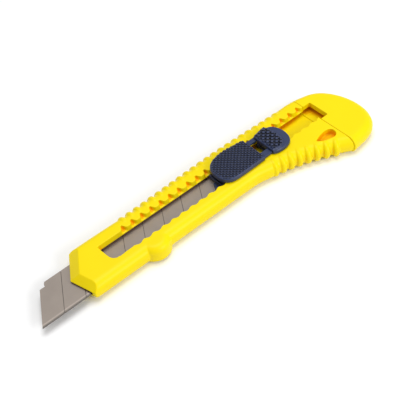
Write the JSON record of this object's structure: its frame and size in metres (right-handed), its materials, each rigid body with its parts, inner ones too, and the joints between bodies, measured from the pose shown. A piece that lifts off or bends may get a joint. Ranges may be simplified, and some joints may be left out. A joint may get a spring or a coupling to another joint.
{
  "type": "utility knife",
  "caption": "Flat plastic snap-off utility knife with a scored steel blade, a thumb slider with a separate lock pad, scalloped slot edges, grip ribs and a rounded pull-off end cap.",
  "frame": {"origin": "on the flat back of the handle, midway along the knife's length and midway across the blade's width", "axes": "+X along the handle from the blade's tip to the rear end, +Y from the cutting edge to the blade's spine, +Z from the flat back up through the slot face"},
  "size_m": [0.1694, 0.0412, 0.0116],
  "materials": {
    "yellow_plastic": "satin moulded ABS",
    "cap_plastic": "satin moulded ABS",
    "navy_plastic": "satin with a moulded knurl",
    "lock_plastic": "satin with a coarse moulded knurl",
    "blade_steel": "ground and lightly oiled carbon steel",
    "spring_steel": "bright spring strip"
  },
  "bodies": {
    "handle": {"handle_body": "yellow_plastic"},
    "cap": {"end_cap": "cap_plastic"},
    "carriage": {"slider": "navy_plastic", "blade": "blade_steel", "click_spring": "spring_steel"},
    "lock": {"lock_pad": "lock_plastic"}
  },
  "joints": [
    {"name": "slider_slide", "type": "slide", "parent": "handle", "child": "carriage", "axis": [-1, 0, 0], "range_m": [-0.025, 0.05]},
    {"name": "lock_slide", "type": "slide", "parent": "carriage", "child": "lock", "axis": [-1, 0, 0], "range_m": [0, 0.004]},
    {"name": "cap_pull", "type": "slide", "parent": "handle", "child": "cap", "axis": [1, 0, 0], "range_m": [0, 0.03]}
  ]
}
